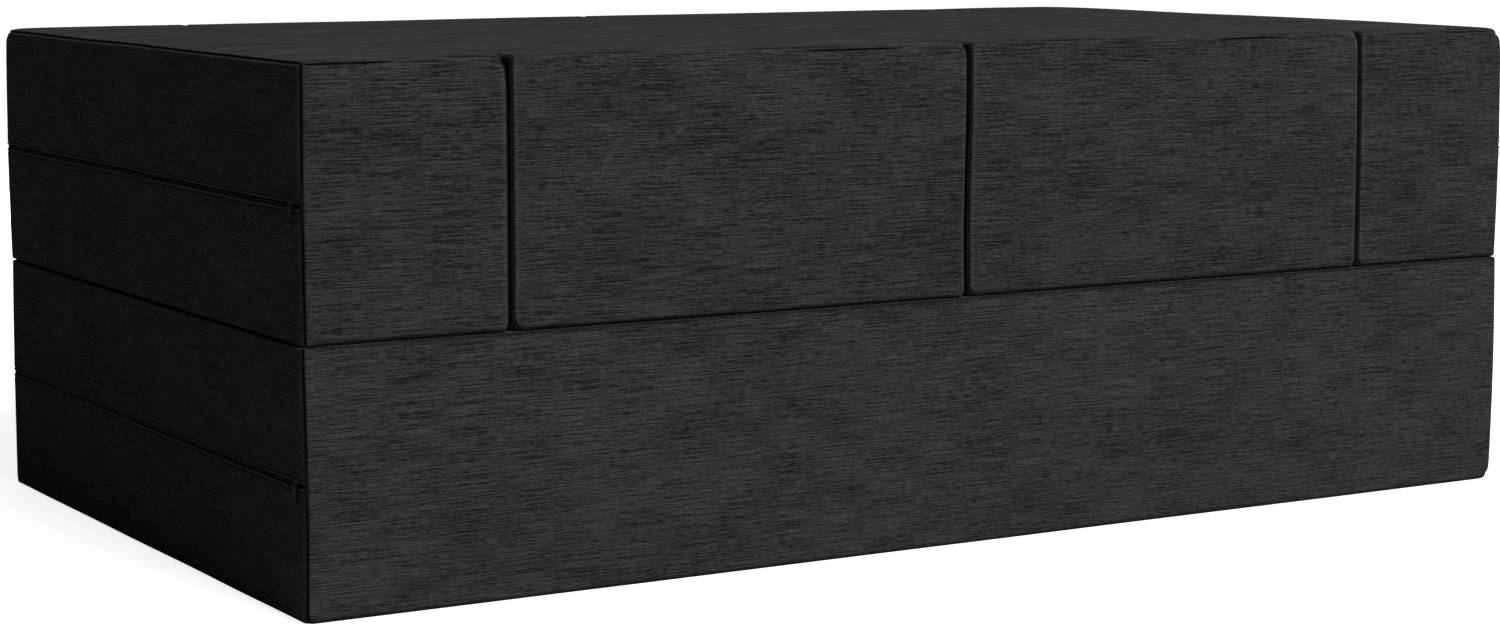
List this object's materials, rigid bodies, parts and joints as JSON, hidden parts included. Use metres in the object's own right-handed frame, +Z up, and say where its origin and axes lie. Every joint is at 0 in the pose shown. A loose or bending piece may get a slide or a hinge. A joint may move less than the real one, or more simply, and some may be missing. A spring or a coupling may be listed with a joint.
{
  "type": "folding sofa bed",
  "caption": "Block-shaped foam sofa bed: a full-length base with separate upper blocks that fold back on sewn fabric hinges to make a bed.",
  "frame": {"origin": "middle of the floor area that the folded sofa bed takes up, at floor level", "axes": "+X along the length, to the right when seen from the front; +Y to the back; +Z up"},
  "size_m": [1.7586, 1.0158, 0.6124],
  "materials": {
    "cover_fabric": "coarse linen-look polyester weave, charcoal",
    "liner_fabric": "thin white non-woven lining",
    "foam": "open-cell upholstery foam",
    "hinge_fabric": "folded and stitched cover fabric",
    "zip_tape": "black woven polyester tape",
    "zip_teeth": "black nylon coil",
    "zip_metal": "black painted zinc casting"
  },
  "bodies": {
    "base": {"base_cover": "cover_fabric", "base_liner": "liner_fabric", "base_foam_lower": "foam", "base_foam_upper": "foam", "base_zip_tape": "zip_tape", "base_zip_teeth": "zip_teeth", "base_zip_stops": "zip_teeth", "base_hinge_flap_left_arm": "hinge_fabric", "base_hinge_flap_left_middle": "hinge_fabric", "base_hinge_flap_right_middle": "hinge_fabric", "base_hinge_flap_right_arm": "hinge_fabric"},
    "base_slider": {"base_zip_slider": "zip_metal"},
    "base_pull": {"base_zip_pull": "zip_metal"},
    "left_arm": {"left_arm_cover": "cover_fabric", "left_arm_liner": "liner_fabric", "left_arm_foam_lower": "foam", "left_arm_foam_upper": "foam", "left_arm_zip_tape": "zip_tape", "left_arm_zip_teeth": "zip_teeth", "left_arm_zip_stops": "zip_teeth", "left_arm_hinge_flap": "hinge_fabric"},
    "left_arm_slider": {"left_arm_zip_slider": "zip_metal"},
    "left_arm_pull": {"left_arm_zip_pull": "zip_metal"},
    "left_middle": {"left_middle_cover": "cover_fabric", "left_middle_liner": "liner_fabric", "left_middle_foam_lower": "foam", "left_middle_foam_upper": "foam", "left_middle_zip_tape": "zip_tape", "left_middle_zip_teeth": "zip_teeth", "left_middle_zip_stops": "zip_teeth", "left_middle_hinge_flap": "hinge_fabric"},
    "left_middle_slider": {"left_middle_zip_slider": "zip_metal"},
    "left_middle_pull": {"left_middle_zip_pull": "zip_metal"},
    "right_middle": {"right_middle_cover": "cover_fabric", "right_middle_liner": "liner_fabric", "right_middle_foam_lower": "foam", "right_middle_foam_upper": "foam", "right_middle_zip_tape": "zip_tape", "right_middle_zip_teeth": "zip_teeth", "right_middle_zip_stops": "zip_teeth", "right_middle_hinge_flap": "hinge_fabric"},
    "right_middle_slider": {"right_middle_zip_slider": "zip_metal"},
    "right_middle_pull": {"right_middle_zip_pull": "zip_metal"},
    "right_arm": {"right_arm_cover": "cover_fabric", "right_arm_liner": "liner_fabric", "right_arm_foam_lower": "foam", "right_arm_foam_upper": "foam", "right_arm_zip_tape": "zip_tape", "right_arm_zip_teeth": "zip_teeth", "right_arm_zip_stops": "zip_teeth", "right_arm_hinge_flap": "hinge_fabric"},
    "right_arm_slider": {"right_arm_zip_slider": "zip_metal"},
    "right_arm_pull": {"right_arm_zip_pull": "zip_metal"}
  },
  "joints": [
    {"name": "base_zip_slide", "type": "slide", "parent": "base", "child": "base_slider", "axis": [0, 1, 0], "range_m": [0, 0.9634]},
    {"name": "base_pull_swing", "type": "hinge", "parent": "base_slider", "child": "base_pull", "pos_m": [-0.8777, -0.48462, 0.153], "axis": [0, 1, 0], "range_deg": [0, 180]},
    {"name": "left_arm_fold", "type": "hinge", "parent": "base", "child": "left_arm", "pos_m": [-0.7495, 0.50808, 0.3062], "axis": [-1, 0, 0], "range_deg": [0, 180]},
    {"name": "left_arm_zip_slide", "type": "slide", "parent": "left_arm", "child": "left_arm_slider", "axis": [0, 1, 0], "range_m": [0, 0.9634]},
    {"name": "left_arm_pull_swing", "type": "hinge", "parent": "left_arm_slider", "child": "left_arm_pull", "pos_m": [-0.8777, -0.48462, 0.4594], "axis": [0, 1, 0], "range_deg": [0, 180]},
    {"name": "left_middle_fold", "type": "hinge", "parent": "base", "child": "left_middle", "pos_m": [-0.3115, 0.50808, 0.3062], "axis": [-1, 0, 0], "range_deg": [0, 180]},
    {"name": "left_middle_zip_slide", "type": "slide", "parent": "left_middle", "child": "left_middle_slider", "axis": [1, 0, 0], "range_m": [0, 0.5734]},
    {"name": "left_middle_pull_swing", "type": "hinge", "parent": "left_middle_slider", "child": "left_middle_pull", "pos_m": [-0.5982, 0.50528, 0.4594], "axis": [1, 0, 0], "range_deg": [0, 180]},
    {"name": "right_middle_fold", "type": "hinge", "parent": "base", "child": "right_middle", "pos_m": [0.3115, 0.50808, 0.3062], "axis": [-1, 0, 0], "range_deg": [0, 180]},
    {"name": "right_middle_zip_slide", "type": "slide", "parent": "right_middle", "child": "right_middle_slider", "axis": [1, 0, 0], "range_m": [0, 0.5734]},
    {"name": "right_middle_pull_swing", "type": "hinge", "parent": "right_middle_slider", "child": "right_middle_pull", "pos_m": [0.0248, 0.50528, 0.4594], "axis": [1, 0, 0], "range_deg": [0, 180]},
    {"name": "right_arm_fold", "type": "hinge", "parent": "base", "child": "right_arm", "pos_m": [0.7495, 0.50808, 0.3062], "axis": [-1, 0, 0], "range_deg": [0, 180]},
    {"name": "right_arm_zip_slide", "type": "slide", "parent": "right_arm", "child": "right_arm_slider", "axis": [0, 1, 0], "range_m": [0, 0.9634]},
    {"name": "right_arm_pull_swing", "type": "hinge", "parent": "right_arm_slider", "child": "right_arm_pull", "pos_m": [0.8777, -0.48462, 0.4594], "axis": [0, -1, 0], "range_deg": [0, 180]}
  ]
}
